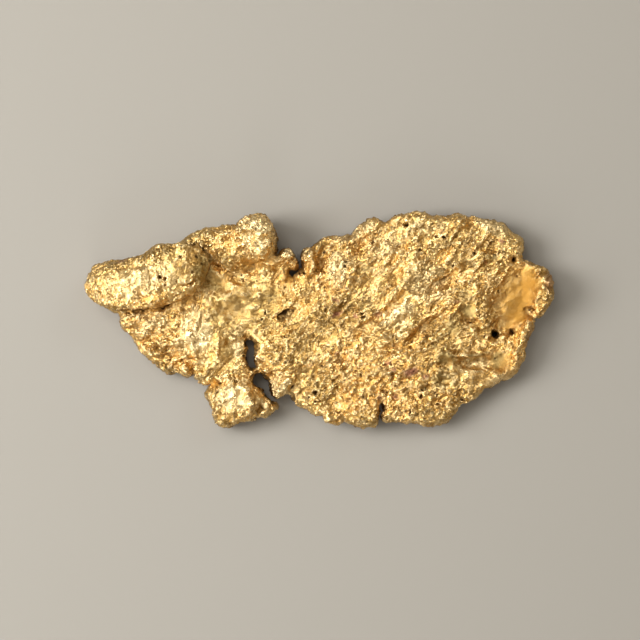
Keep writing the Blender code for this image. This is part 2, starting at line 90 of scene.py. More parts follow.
# %% A socket that can be added and multiplied
class Flow:
    def __init__(self, nodes, socket):
        self.nodes, self.socket = nodes, socket

    def maths(self, operation, first, second, clamp=False):
        return self.nodes.add("Math", dict(operation=operation, use_clamp=clamp), {0: first, 1: second})

    def __add__(self, other):
        return self.maths("ADD", self, other)

    __radd__ = __add__

    def __mul__(self, other):
        return self.maths("MULTIPLY", self, other)

    __rmul__ = __mul__

    def __sub__(self, other):
        return self.maths("SUBTRACT", self, other)

    def __rsub__(self, other):
        return self.maths("SUBTRACT", other, self)

    def clamped(self):
        return self.maths("ADD", self, 0.0, clamp=True)

    def sibling(self, name):
        """Another output of the same node."""
        return Flow(self.nodes, self.socket.node.outputs[name])


# %% The nodes of one material
MIX_SHARE, MIX_FIRST, MIX_SECOND, MIX_RESULT = 0, 6, 7, 2  # the Mix node's sockets for colours


class Nodes:
    """The nodes of one material or world, with its shader."""

    def __init__(self, owner, shader="Principled BSDF"):
        owner.use_nodes = True
        self.tree = owner.node_tree
        self.shader = self.tree.nodes[shader]

    def add(self, kind, settings=None, sockets=None, output=0):
        """Adds a node: its settings first, then the values or links of its sockets."""
        node = self.tree.nodes.new("ShaderNode" + kind)
        for name, value in (settings or {}).items():
            setattr(node, name, value)
        for name, value in (sockets or {}).items():
            self.feed(node.inputs[name], value)
        return Flow(self, node.outputs[output])

    def feed(self, socket, value):
        """Links a flow to a socket, or sets the socket to a plain value."""
        if isinstance(value, Flow):
            self.tree.links.new(value.socket, socket)
        else:
            socket.default_value = value

    def shade(self, name, value):
        """Feeds one socket of the shader."""
        self.feed(self.shader.inputs[name], value)

    def colour(self, value):
        """A flow as it is, or a plain colour with its alpha."""
        return value if isinstance(value, Flow) else (*value, 1)

    def mix(self, share, first, second):
        """Colours mixed: first where share is 0, second where it is 1."""
        sockets = {MIX_SHARE: share, MIX_FIRST: self.colour(first), MIX_SECOND: self.colour(second)}
        return self.add("Mix", dict(data_type="RGBA", clamp_factor=True), sockets, MIX_RESULT)

    def attribute(self, name, output="Fac"):
        return self.add("Attribute", dict(attribute_name=name), output=output)

    def vector(self, operation, first, second=None, scale=None):
        given = {0: first, 1: second, "Scale": scale}
        sockets = {name: value for name, value in given.items() if value is not None}
        return self.add("VectorMath", dict(operation=operation), sockets)

    def between(self, value, low, high):
        """0 where value is low, 1 where it is high, eased between."""
        settings = dict(interpolation_type="SMOOTHSTEP", clamp=True)
        return self.add("MapRange", settings, {0: value, 1: low, 2: high})


print("shader maths ready")

# %% [markdown]
# ## Floor and light
#
# Metal has no colour of its own in the way that paint has: it tints what it mirrors. What makes
# gold look like gold is therefore what stands round it. The floor is plain, pale and dull, so
# that it sends up a soft light and nothing else to see.

# %% The floor
FLOOR_SIZE = 1.2
FLOOR_COLOUR = (0.38, 0.365, 0.34)
FLOOR_ROUGHNESS = 0.85


def add_floor():
    half = FLOOR_SIZE / 2
    corners = [(-half, -half, 0), (half, -half, 0), (half, half, 0), (-half, half, 0)]
    mesh = bpy.data.meshes.new("floor")
    mesh.from_pydata(corners, [], [(0, 1, 2, 3)])
    material = bpy.data.materials.new("pale_floor")
    nodes = Nodes(material)
    nodes.shade("Base Color", (*FLOOR_COLOUR, 1))
    nodes.shade("Roughness", FLOOR_ROUGHNESS)
    mesh.materials.append(material)
    floor = bpy.data.objects.new("floor", mesh)
    bpy.context.scene.collection.objects.link(floor)
    return floor


print("floor:", add_floor().name)

# %% [markdown]
# One strong soft lamp stands on the left, halfway up the sky. Each facet that leans towards it
# flashes, and each that leans away goes brown, so the crumples can be read. A low lamp beside it
# catches the steep sides, and weaker ones behind, in front and above keep the far sides alive.

# %% The lamps
LAMP_DISTANCE = 0.45
LAMP_TINT = (1.0, 0.985, 0.95)
# name: azimuth and height in degrees, size in metres, brightness
LAMPS = {
    "left": (174, 42, 0.22, 10.8),
    "low_left": (200, 16, 0.24, 2.2),
    "near": (262, 30, 0.18, 2.3),
    "far_right": (40, 40, 0.16, 2.2),
    "far_left": (130, 62, 0.18, 3.6),
    "above": (150, 84, 0.40, 0.85),
}


def add_lamp(name, azimuth, height, size, brightness):
    """A square soft lamp that faces the nugget. Brightness is what its face shows in a mirror."""
    lamp = bpy.data.objects.new(name, bpy.data.lights.new(name, "AREA"))
    lamp.data.size, lamp.data.color = size, LAMP_TINT
    lamp.data.energy = brightness * math.pi * size ** 2
    azimuth, height = math.radians(azimuth), math.radians(height)
    level = LAMP_DISTANCE * math.cos(height)
    lamp.location = level * math.cos(azimuth), level * math.sin(azimuth), LAMP_DISTANCE * math.sin(height)
    lamp.rotation_euler = (-lamp.location).to_track_quat("-Z", "Y").to_euler()
    bpy.context.scene.collection.objects.link(lamp)


for name, values in LAMPS.items():
    add_lamp(name, *values)

# %% [markdown]
# The room itself is a warm glow, like a tent of cream paper: brighter near the horizon, where
# the tilted facets look, and dim overhead, which is all that a level facet mirrors.

# %% The room
ROOM = (1.0, 0.85, 0.60)
AT_HORIZON, OVERHEAD = 0.40, 0.13  # brightness
FADES_BETWEEN = 0.1, 0.6  # sines of the heights between which it fades


def add_room():
    world = bpy.data.worlds.new("room")
    nodes = Nodes(world, "Background")
    direction = nodes.add("TexCoord", output="Generated")
    height = nodes.add("SeparateXYZ", sockets={0: direction}, output="Z")
    nodes.shade("Color", (*ROOM, 1))
    nodes.shade("Strength", nodes.between(height, *FADES_BETWEEN) * (OVERHEAD - AT_HORIZON) + AT_HORIZON)
    bpy.context.scene.world = world
    return world


print("world:", add_room().name)

# %% [markdown]
# ## From facets to a skin
#
# The solid's facets are about half a millimetre wide, far too coarse for fine relief. The skin
# is made from a copy of it. A voxel remesh lays an even net of small quads over the copy, fine
# enough for a dent a quarter of a millimetre wide, and a few rounds of smoothing melt the
# facets' edges away. The even net matters: relief that is moved into it looks the same on the
# flat, on the steep sides and on the back.

# %% An even, fine net
NET = 0.118 * MM
MELTING_ROUNDS, MELTING_SHARE = 5, 0.5


def net_over(solid):
    """A remeshed, smoothed copy of the solid, as a mesh."""
    copy = bpy.data.objects.new("net", solid.data.copy())
    bpy.context.scene.collection.objects.link(copy)
    remesh = copy.modifiers.new("net", "REMESH")
    remesh.mode, remesh.voxel_size = "VOXEL", NET
    melt = copy.modifiers.new("melt", "SMOOTH")
    melt.factor, melt.iterations = MELTING_SHARE, MELTING_ROUNDS
    bpy.context.view_layer.update()
    mesh = bpy.data.meshes.new_from_object(copy.evaluated_get(bpy.context.evaluated_depsgraph_get()))
    bpy.data.objects.remove(copy)
    return mesh


def read(mesh, what):
    """Every vertex's place ("co") or normal ("normal"), as rows of three numbers."""
    values = np.empty(len(mesh.vertices) * 3, dtype=np.float32)
    source = mesh.vertices if what == "co" else mesh.vertex_normals
    source.foreach_get("co" if what == "co" else "vector", values)
    return values.reshape(-1, 3).astype(float)


skin = net_over(solid)
print("net:", len(skin.vertices), "points")

# %% [markdown]
# ## Noise to beat the gold with
#
# All the relief below is drawn from noise, worked out for every point of the net at once. It
# starts from numbers by lot, the same ones each time for the same cell of a lattice: large
# factors and folded bits are enough to make them look random.

# %% Numbers by lot
CELL_STIR = 73856093, 19349663, 83492791
SEED_STIR, TURN_STIR = 2654435761, 1013904223
STIRS = (15, 2246822519), (13, 3266489917)
LAST_SHIFT = 16
SEED_BITS, ALL_BITS = 0x7FFFFFFF, 0xFFFFFFFF


def scatter(cell, seed, count):
    """Numbers from 0 to 1, the same for the same cell and seed: one row for each cell."""
    key = np.bitwise_xor.reduce(cell * CELL_STIR, axis=1) ^ (seed * SEED_STIR & SEED_BITS)
    rows = []
    for turn in range(count):
        mixed = (key + turn * TURN_STIR) & ALL_BITS
        for shift, factor in STIRS:
            mixed = ((mixed ^ (mixed >> shift)) * factor) & ALL_BITS
        rows.append((mixed ^ (mixed >> LAST_SHIFT)) / ALL_BITS)
    return np.stack(rows, axis=1)


# %% [markdown]
# Gradient noise rolls up and down evenly, and folded at its middle it makes sharp crests, like
# foil that was crumpled and pressed flat. Finer, fainter copies on top make either look natural.

# %% Gradient noise
CORNERS = [(i, j, k) for i in (0, 1) for j in (0, 1) for k in (0, 1)]
FULL_SWING = 1.6  # brings the sum to about -1 to 1
FINER, CREST_FINER = 2.03, 1.9  # not quite 2, so that the layers' lattices never line up
CREST_TOP, CREST_SLOPE = 0.5, 2.2


def rolling(points, size, seed):
    """Gradient noise, about -1 to 1, with swells about as wide as size."""
    points = points / size
    base = np.floor(points).astype(np.int64)
    inside = points - base
    eased = inside ** 3 * (inside * (inside * 6 - 15) + 10)
    total = np.zeros(len(points))
    for corner in CORNERS:
        slope = scatter(base + corner, seed, 3) * 2 - 1
        share = np.prod(np.where(corner, eased, 1 - eased), axis=1)
        total += share * ((inside - corner) * slope).sum(axis=1)
    return total * FULL_SWING


def layered(points, size, seed, layers=3, fade=0.5):
    """Gradient noise with finer, fainter noise on top of it."""
    return sum(fade ** n * rolling(points, size / FINER ** n, seed + n) for n in range(layers))


def crests(points, size, seed, layers=3, fade=0.55):
    """Sharp crests with rounded troughs between them, about -1 to 1."""
    total = 0
    for n in range(layers):
        folded = CREST_TOP - CREST_SLOPE * np.abs(rolling(points, size / CREST_FINER ** n, seed + n))
        total = total + fade ** n * folded
    return total


def drift(points, size, seed, layers=1):
    """A smooth shift for each point, about -1 to 1 along each axis."""
    return np.stack([layered(points, size, seed + axis, layers) for axis in range(3)], axis=1)


place = read(skin, "co") / MM
print("rolling noise spreads over", rolling(place, 1.0, 1).std().round(2))

# %% [markdown]
# Cell noise scatters points and looks for the nearest ones. The distance to the nearest makes
# rounded grains, and a plane through each point, tilted its own way, makes facets.

# %% Cell noise
NEIGHBOURS = [(i, j, k) for i in (-1, 0, 1) for j in (-1, 0, 1) for k in (-1, 0, 1)]
FAR = 9.0  # further than any distance that is looked for


def nearest_grain(points, size, seed):
    """Distance to the nearest of points scattered about size apart, as a share of size."""
    points = points / size
    base = np.floor(points).astype(np.int64)
    nearest = np.full(len(points), FAR)
    for step in NEIGHBOURS:
        cell = base + step
        nearest = np.minimum(nearest, np.linalg.norm(cell + scatter(cell, seed, 3) - points, axis=1))
    return nearest


def facets(points, size, seed, edge=0.16):
    """Small planes, each tilted its own way, as crumpled foil has. About -0.5 to 0.5."""
    points = points / size
    base = np.floor(points).astype(np.int64)
    first, second = np.full((2, len(points)), FAR)
    height = np.zeros(len(points))
    for step in NEIGHBOURS:
        cell = base + step
        chance = scatter(cell, seed, 6)
        shift = points - cell - chance[:, :3]
        away = np.linalg.norm(shift, axis=1)
        closer = away < first
        second = np.where(closer, first, np.minimum(second, away))
        height = np.where(closer, ((chance[:, 3:] * 2 - 1) * shift).sum(axis=1), height)
        first = np.minimum(first, away)
    return height * np.clip((second - first) / edge, 0, 1)


print("a grain's mean distance:", nearest_grain(place[:1000], 1.0, 1).mean().round(2))

# %% [markdown]
# ## Which way the gold was beaten
#
# Gravel slides as it strikes, so the dents are drawn out, and their direction changes over the
# nugget. On the plate they run up to the right, on the thin sheet almost level, and on the roll
# across it. Each stretch has flat coordinates of its own, turned and squeezed about its own
# centre, and noise that is read in them comes out drawn along the grain. Between stretches they
# blend. With one common centre, turning would shear the noise into hair far away from it.

# %% The grain of the surface
# centre and reach in millimetres, direction in degrees, how far the dents are drawn out
GRAIN = [
    ((12, 4), 12, 50, 2.8),
    ((20, 4), 7, 38, 2.6),
    ((5, -7), 8, 62, 1.5),
    ((16, -9), 7, 30, 1.6),
    ((-1, 3), 4, 52, 2.6),
    ((-10, 2), 6, 8, 2.4),
    ((-19, -3), 6, -25, 1.4),
    ((-21.5, 5), 5, 80, 1.8),
    ((-27.5, 3.8), 2.6, 110, 1.8),
    ((-9, 10), 4, 40, 1.2),
    ((-10.5, -10), 4, 82, 1.8),
    ((28.5, 3.5), 3, 75, 2.4),
    ((25.5, -3), 3, 68, 2.0),
]
USUAL_WAY = 45, 2.0  # the direction and stretch of most of the nugget


def squeezed(shift, degrees, stretch):
    """Flat coordinates that run along a direction and are squeezed along it."""
    turn = math.radians(degrees)
    run = shift @ (math.cos(turn), math.sin(turn)) / stretch
    across = shift @ (-math.sin(turn), math.cos(turn))
    return np.stack([run, across], axis=-1)


def along_grain(points, firmness=1):
    """The points in coordinates that run with the grain. A high firmness makes sharp borders."""
    flat = points[:, :2]
    near, ways = [], []
    for centre, reach, degrees, stretch in GRAIN:
        near.append(-((flat - centre) ** 2).sum(axis=1) / reach ** 2)
        ways.append(squeezed(flat - centre, degrees, stretch) + squeezed(np.array(centre), *USUAL_WAY))
    share = np.exp(firmness * (np.array(near) - np.max(near, axis=0)))
    share /= share.sum(axis=0)
    return np.column_stack([(share[:, :, None] * ways).sum(axis=0), points[:, 2]])


grained = along_grain(place)
print("grain laid over", len(GRAIN), "stretches")

# %% [markdown]
# ## Relief that lies all over
#
# How strong the relief is changes over the nugget, because the river polished some places and
# only bruised others. A list of ellipses says where the gold is smoother or rougher than usual.

# %% Smooth and rough patches
# centre, half lengths, turn in degrees, share of the usual relief that is left
PATCHES = [
    ((-9.6, 2.0), (6.4, 4.2), 8, 0.3),
    ((20.0, -6.5), (6.5, 4.5), 20, 0.7),
    ((-13.5, -3.5), (3.2, 3.6), 0, 0.7),
    ((-13.1, 5.4), (2.4, 1.3), -25, 0.5),
    ((-17.25, 6.4), (1.8, 3.6), 15, 0.5),
    ((-11.6, -3.9), (1.3, 1.6), -20, 0.7),
    ((24.8, 3.0), (2.8, 5.2), -14, 0.3),
    ((23.6, -0.2), (2.0, 1.4), 10, 0.5),
    ((18.4, 1.1), (1.2, 1.2), 0, 0.25),
    ((15.6, -4.6), (0.9, 0.6), 0, 0.35),
    ((15.4, -7.4), (1.0, 0.7), 0, 0.35),
    ((22.3, -5.2), (1.2, 1.4), 0, 0.45),
    ((6.2, 6.4), (1.0, 0.5), 12, 0.15),
    ((-16.45, -1.7), (0.7, 0.5), 20, 0.2),
    ((1.8, 4.4), (1.6, 3.0), -30, 1.25),
    ((-19.25, -3.2), (4.0, 2.4), -30, 1.35),
    ((-8.6, 10.4), (2.6, 3.0), 10, 1.3),
    ((4.8, -6.0), (6.0, 5.0), 0, 1.15),
    ((10.9, 6.0), (5.0, 5.0), 0, 1.15),
    ((-21.5, 4.8), (6.5, 3.2), 14, 0.65),
]


def oval(points, centre, half_lengths, turn):
    """1 in the middle of an ellipse on the upper face, fading to 0 at its edge."""
    turn = math.radians(turn)
    shift = points[:, :2] - centre
    along = shift @ (math.cos(turn), math.sin(turn)) / half_lengths[0]
    across = shift @ (-math.sin(turn), math.cos(turn)) / half_lengths[1]
    inward = np.clip(1 - along ** 2 - across ** 2, 0, 1)
    return inward ** 2 * (3 - 2 * inward)


def roughness_left(points):
    left = np.ones(len(points))
    for *where, share in PATCHES:
        left *= 1 + (share - 1) * oval(points, *where)
    return left


left = roughness_left(place)
print("relief left, least and most:", left.min().round(2), left.max().round(2))

# %% [markdown]
# The relief is a sum of layers. Two of them have places of their own: nodules, where the gold
# grew between grains of quartz, and flat-floored dents, where gravel struck hardest. The others
# lie all over: broad swells, crumples with crinkled crests, faint streaks along the grain, two
# sizes of foil-like facets, and a fine speckle.

# %% Where nodules and dents lie
# centre, half lengths, turn in degrees
NODULAR = [
    ((-8.4, 10.4), (3.0, 3.4), 0), ((2.0, 5.0), (3.4, 4.0), 0), ((5.6, -6.6), (8.0, 6.4), 0),
    ((14.6, -9.0), (5.0, 3.6), 20), ((10.0, 8.4), (5.0, 3.6), 0), ((-19.5, -3.4), (4.6, 2.6), -30),
    ((-8.4, -10.8), (3.4, 2.4), 0), ((-5.6, -5.6), (3.4, 4.2), 0),
]
DENTED = [
    ((-21.5, 4.8), (7.5, 3.6), 14), ((-8.5, 10.4), (3.6, 3.6), 0), ((-10.8, -10.2), (3.4, 3.2), 0),
]
print(len(NODULAR), "nodular places,", len(DENTED), "dented ones")

# %% The layers
# each layer's width and height in millimetres
SWELL_WIDTH, SWELL_HEIGHT = 3.4, 0.32
CRUMPLE_WIDTH, CRUMPLE_HEIGHT = 1.5, 0.13
DENT_WIDTH, DENT_HEIGHT = 1.25, 0.34
NODULE_WIDTH, NODULE_HEIGHT = 0.62, 0.24
STREAK_WIDTH, STREAK_HEIGHT = 0.4, 0.02
FOIL_WIDTH, FOIL_HEIGHT = 0.38, 0.09
FLAKE_WIDTH, FLAKE_HEIGHT = 0.3, 0.06
SPECKLE_WIDTH, SPECKLE_HEIGHT = 0.24, 0.03
WARP_WIDTH, UNEVEN_WIDTH = 1.6, 3.2
DENT_RIM = 0.35  # how wide the edge of a dent's flat floor is, as a share of the dent
NODULE_FALL = 1.6  # how fast a nodule falls off from its top


def drawn_out(points, grained, share):
    """Coordinates that follow the grain by a share only."""
    return (1 - share) * points + share * grained


def skin_relief(points, grained, left):
    """Height of the relief that lies all over, in millimetres."""
    warp = drift(points, WARP_WIDTH, 40)
    warped = grained + 0.25 * warp
    uneven = 0.8 + 0.7 * rolling(points, UNEVEN_WIDTH, 61)  # high where streaks win over flakes
    swells = layered(drawn_out(points, grained, 0.6), SWELL_WIDTH, 5, 2)
    crumple = crests(warped + 0.2 * warp, CRUMPLE_WIDTH, 11, 2)
    streaks = crests(warped, STREAK_WIDTH, 21, 2)
    foil = facets(drawn_out(points, warped, 0.7), FOIL_WIDTH, 31)
    flakes = facets(points, FLAKE_WIDTH, 36)
    speckle = layered(points, SPECKLE_WIDTH, 51, 2)
    dents = facets(drawn_out(points, warped, 0.4), DENT_WIDTH, 71, DENT_RIM)
    dents *= sum(oval(points, *where) for where in DENTED)
    nodules = 1 - NODULE_FALL * nearest_grain(drawn_out(points, warped, 0.3), NODULE_WIDTH, 81) ** 2
    nodules = np.clip(nodules, 0, 1) * np.max([oval(points, *where) for where in NODULAR], axis=0)
    fine = CRUMPLE_HEIGHT * crumple + STREAK_HEIGHT * streaks * uneven
    fine += FOIL_HEIGHT * foil + FLAKE_HEIGHT * flakes * (1.6 - uneven)
    relief = left * fine + NODULE_HEIGHT * nodules + DENT_HEIGHT * dents
    relief += SWELL_HEIGHT * swells * (0.4 + 0.6 * left)
    return relief + SPECKLE_HEIGHT * speckle * (0.5 + 0.5 * left)


relief = skin_relief(place, grained, left)
print("relief from", relief.min().round(2), "to", relief.max().round(2), "mm")

# %% [markdown]
# ## Marks with a place of their own
#
# Noise never makes the things that a nugget is known by. Each fold, crease and pit that has its
# own place is therefore named here, by points on the upper face in millimetres. Ridges and
# creases follow a path, lumps and dents fill an ellipse, and pits are small and steep.

# %% Ridges and creases
# path, width, height (below 0 for a crease), all in millimetres
FOLDS = [
    ([(4.0, -1.4), (5.1, -0.8), (6.1, -0.3), (7.1, 0.1), (8.0, 0.7), (9.05, 2.0)], 0.26, -0.28),
    ([(4.8, -0.1), (6.4, 0.5), (7.4, 1.1), (8.4, 2.6), (9.15, 3.6)], 0.38, 0.26),
    ([(8.0, -3.6), (9.35, -3.2), (10.7, -3.1), (11.75, -2.0), (12.55, -0.9), (13.8, 0.6)], 0.26, -0.24),
    ([(8.85, -4.6), (10.6, -4.1), (12.25, -2.9), (13.5, -1.5)], 0.3, 0.18),
    ([(-4.35, 0.4), (-3.55, 1.6), (-2.45, 3.0), (-1.15, 4.2)], 0.4, 0.3),
    ([(-2.85, -1.6), (-1.65, -0.2), (-0.6, 1.6), (0.2, 3.4)], 0.35, 0.2),
    ([(-25.7, 1.15), (-24.15, 1.2), (-22.5, 1.1), (-20.8, 1.2), (-19.25, 1.6), (-17.85, 2.5),
      (-16.45, 3.3)], 0.2, -0.9),
    ([(-16.95, 4.2), (-16.25, 4.3), (-15.45, 4.65)], 0.14, -0.8),
    ([(-15.75, 4.3), (-15.35, 4.9)], 0.13, -0.8),
    ([(-27.45, 4.0), (-27.15, 3.4), (-26.95, 2.8)], 0.12, -0.4),
    ([(-25.0, 3.8), (-24.45, 3.65), (-24.15, 3.75)], 0.1, -0.35),
    ([(-9.3, 6.65), (-8.4, 6.7), (-7.55, 7.15)], 0.2, -0.4),
    ([(-13.2, 7.1), (-12.6, 6.5), (-12.3, 5.9)], 0.14, -0.3),
    ([(-15.55, 9.0), (-14.85, 8.2), (-14.3, 7.9), (-13.6, 6.7)], 0.13, 0.3),
    ([(-15.15, 7.4), (-14.3, 7.2), (-13.5, 6.3)], 0.12, 0.25),
    ([(-15.65, 8.1), (-14.95, 8.5), (-14.2, 8.6)], 0.1, 0.25),
    ([(-16.2, 9.6), (-15.2, 9.4), (-14.2, 9.7), (-13.2, 9.5)], 0.16, 0.4),
    ([(-14.9, 9.9), (-14.2, 9.0), (-13.2, 8.4), (-12.5, 7.4)], 0.15, 0.4),
    ([(-14.4, 7.9), (-13.5, 7.9), (-12.7, 8.6)], 0.13, 0.35),
    ([(-14.0, 6.2), (-13.2, 6.6), (-12.4, 6.5)], 0.13, 0.3),
    ([(-22.7, -2.7), (-21.4, -2.2), (-20.2, -1.6)], 0.26, -0.3),
    ([(-12.6, -2.1), (-12.7, -3.2), (-12.8, -4.5)], 0.24, 0.28),
    ([(-14.8, -7.2), (-13.5, -7.0), (-12.3, -7.1)], 0.25, 0.22),
    ([(-10.6, -6.9), (-10.5, -7.6), (-10.55, -8.1)], 0.16, -0.5),
    ([(-11.5, -10.2), (-11.3, -9.2), (-11.2, -8.6)], 0.3, 0.3),
    ([(-12.8, -11.6), (-12.6, -10.6), (-12.5, -9.7)], 0.28, 0.24),
    ([(-9.3, -10.4), (-9.1, -9.4), (-8.8, -8.8)], 0.28, 0.28),
    ([(-10.2, -12.0), (-10.1, -10.8), (-10.2, -9.8)], 0.2, -0.22),
    ([(4.65, 5.8), (4.65, 6.4), (5.05, 6.8)], 0.16, -0.45),
    ([(20.4, 9.75), (21.0, 9.85), (21.6, 9.55)], 0.15, -0.4),
    ([(21.2, 8.8), (21.7, 8.95), (22.2, 8.65)], 0.13, -0.35),
    ([(21.9, 8.3), (22.0, 7.9)], 0.1, -0.3),
    ([(12.95, 11.7), (13.2, 11.45), (13.15, 11.2)], 0.12, -0.3),
    ([(18.1, 0.6), (18.5, -0.1), (19.2, -0.05), (19.9, -0.6)], 0.2, -0.45),
    ([(18.0, -0.5), (18.8, -1.0), (19.8, -1.2)], 0.24, 0.22),
    ([(19.2, -2.6), (19.8, -2.75)], 0.14, -0.35),
    ([(15.1, 4.9), (15.7, 5.3), (16.4, 5.4)], 0.18, -0.4),
    ([(15.0, 5.3), (15.7, 5.5), (16.3, 5.4)], 0.2, 0.25),
    ([(19.3, 3.8), (20.4, 4.4), (21.8, 4.7), (22.6, 4.6)], 0.22, -0.2),
    ([(17.0, 5.0), (18.2, 5.6), (19.6, 6.0)], 0.22, -0.22),
    ([(24.1, -4.6), (24.6, -4.2), (25.1, -4.0)], 0.16, -0.4),
    ([(17.8, -4.75), (19.2, -4.85), (20.5, -4.8)], 0.18, -0.3),
    ([(17.4, -4.3), (19.0, -4.35), (20.6, -4.3)], 0.22, 0.16),
    ([(18.0, -6.3), (19.6, -6.3), (21.4, -6.1)], 0.24, 0.22),
    ([(22.85, -5.6), (22.8, -6.1), (22.9, -6.6)], 0.1, -0.4),
    ([(27.9, 6.05), (28.4, 6.2), (28.9, 6.1)], 0.18, -0.4),
    ([(27.1, 4.4), (27.6, 4.7), (28.3, 4.3), (28.6, 3.4), (28.2, 2.5)], 0.16, -0.2),
    ([(27.5, 3.9), (27.9, 4.0), (28.2, 3.4), (27.9, 2.7), (27.3, 2.4)], 0.15, 0.2),
    ([(26.1, 1.5), (26.5, 1.1), (26.9, 0.7)], 0.16, -0.6),
    ([(22.8, 3.0), (24.0, 4.0), (24.9, 5.0)], 0.16, 0.12),
    ([(22.4, 1.6), (24.0, 2.8), (25.2, 3.7)], 0.14, 0.1),
    ([(-5.0, 0.35), (-4.6, 0.75), (-4.15, 1.05), (-3.65, 1.2)], 0.15, -0.8),
    ([(-5.85, 0.52), (-5.25, 0.45), (-4.95, 0.4)], 0.1, -0.45),
    ([(-8.7, -2.9), (-8.5, -3.4), (-8.4, -3.9)], 0.25, -0.2),
]


def repeated(path, step, count, width, height):
    """The same ridge again and again, each one a step further."""
    return [([(x + n * step[0], y + n * step[1]) for x, y in path], width, height) for n in range(count)]


# The roll's skin is drawn out in fine lines that run round its left end.
FOLDS += repeated([(-28.6, 3.1), (-28.35, 4.8), (-27.5, 6.1)], (0.55, -0.25), 5, 0.14, 0.1)
# Close ripples, like those of a washboard, where the sheet was squeezed.
FOLDS += repeated([(17.2, 3.7), (18.0, 3.5), (18.9, 3.75)], (0, -0.36), 6, 0.11, 0.1)
FOLDS += repeated([(13.9, -0.9), (14.9, -0.6)], (0.3, -0.35), 5, 0.11, 0.09)
print(len(FOLDS), "ridges and creases")

# %% Their height at each point
FOLD_SHARE = 0.5  # weakens them all alike
BLUNT_END = 0.35  # how much of a mark's height is left at its very ends


def fold(points, path, width, height):
    """Height of one ridge or crease, which thins out towards both its ends."""
    nearest, at = np.full(len(points), FAR), np.zeros(len(points))
    count = len(path) - 1
    for number, (start, end) in enumerate(zip(path, path[1:])):
        run = np.subtract(end, start)
        share = np.clip((points[:, :2] - start) @ run / (run @ run), 0, 1)
        away = np.linalg.norm(points[:, :2] - start - share[:, None] * run, axis=1)
        closer = away < nearest
        nearest[closer] = away[closer]
        at[closer] = (number + share[closer]) / count
    taper = np.clip(6 * at * (1 - at) + BLUNT_END, 0, 1)
    return FOLD_SHARE * height * taper * np.exp(-(nearest / width) ** 2)


wobble = 0.22 * drift(place, 0.9, 70, 2)  # keeps every mark from being straight or round
marks = sum(fold(place + wobble, *one) for one in FOLDS)
print("marks from", marks.min().round(2), "to", marks.max().round(2), "mm")

# %% [markdown]
# Pits are where a grain of quartz sat in the gold and has fallen out, or where two folds leave a
# gap. They are dark because light gets in and doesn't find its way out, so they must be deep for
# their width: a shallow pit in metal is just one more bright dent.

# %% Pits
# place, radius, depth in millimetres
PITS = [
    ((21.9, -1.75), 0.38, 2.6), ((24.05, -1.35), 0.3, 2.4), ((26.25, 1.3), 0.24, 1.0),
    ((10.7, 11.9), 0.26, 1.6), ((20.7, -1.95), 0.14, 0.6), ((22.35, 3.75), 0.17, 0.8),
    ((24.7, 5.5), 0.15, 0.7), ((24.2, 7.6), 0.3, 1.1), ((13.4, -6.2), 0.13, 0.5), ((12.7, -8.9), 0.14, 0.6),
    ((12.65, -9.35), 0.14, 0.6), ((11.85, -9.9), 0.13, 0.5), ((14.75, -10.4), 0.15, 0.6),
    ((14.7, -9.2), 0.13, 0.5), ((17.8, -9.8), 0.15, 0.6), ((13.3, -8.4), 0.12, 0.5),
    ((12.95, -1.9), 0.12, 0.45), ((11.4, -2.6), 0.13, 0.5), ((10.6, -5.2), 0.12, 0.45),
    ((21.9, -4.8), 0.13, 0.5), ((10.7, -11.3), 0.15, 0.6), ((11.2, -11.45), 0.14, 0.6),
    ((0.3, -5.7), 0.13, 0.5), ((-0.15, -4.2), 0.12, 0.5), ((-0.6, -8.95), 0.26, 0.9),
    ((-1.45, -9.5), 0.14, 0.6), ((-0.6, -10.1), 0.15, 0.6), ((5.15, -6.6), 0.14, 0.5),
    ((4.35, -6.35), 0.12, 0.5), ((7.8, -8.7), 0.14, 0.5), ((8.4, -8.8), 0.13, 0.5), ((8.3, -9.25), 0.13, 0.5),
    ((5.3, -9.6), 0.13, 0.5), ((-3.45, -8.35), 0.26, 0.45), ((-4.25, -5.2), 0.13, 0.5),
    ((9.55, -2.4), 0.13, 0.5), ((8.85, -5.4), 0.12, 0.5), ((5.25, 0.85), 0.15, 0.7), ((5.4, 0.35), 0.17, 0.7),
    ((3.2, 7.4), 0.2, 0.6), ((3.1, 6.75), 0.16, 0.5), ((6.55, 9.8), 0.15, 0.5), ((0.6, 8.5), 0.15, 0.6),
    ((0.5, 4.2), 0.12, 0.5), ((-2.0, 5.95), 0.22, 0.9), ((-2.5, 5.9), 0.15, 0.7), ((-6.85, 1.0), 0.14, 0.7),
    ((-7.25, 0.2), 0.12, 0.5), ((-4.45, -2.0), 0.12, 0.5), ((-4.4, 4.15), 0.13, 0.5),
    ((-9.6, 5.1), 0.14, 0.5), ((-9.75, 5.6), 0.13, 0.5), ((-15.45, 9.5), 0.15, 0.7),
    ((-15.1, 7.9), 0.15, 0.6), ((-14.6, 7.1), 0.14, 0.6), ((-19.65, 5.3), 0.17, 0.8),
    ((-18.95, 5.15), 0.17, 0.8), ((-17.65, 4.75), 0.17, 0.8), ((-19.05, 4.35), 0.15, 0.7),
    ((-17.05, 7.95), 0.17, 0.7), ((-15.65, 6.05), 0.14, 0.6), ((-10.5, -7.5), 0.18, 0.7),
    ((-12.1, -1.6), 0.13, 0.5), ((14.5, 10.4), 0.2, 0.6), ((15.5, 10.4), 0.2, 0.7), ((12.4, 8.75), 0.13, 0.6),
    ((19.2, 8.35), 0.2, 0.5), ((16.6, 6.85), 0.15, 0.6), ((13.5, 5.8), 0.12, 0.4), ((17.0, 4.85), 0.14, 0.5),
    ((21.9, 8.1), 0.13, 0.5), ((-22.6, -1.3), 0.13, 0.5), ((-18.65, -4.9), 0.14, 0.5),
    ((-18.05, 0.5), 0.12, 0.4), ((-12.7, -8.9), 0.13, 0.5), ((-7.9, 11.2), 0.13, 0.5),
]
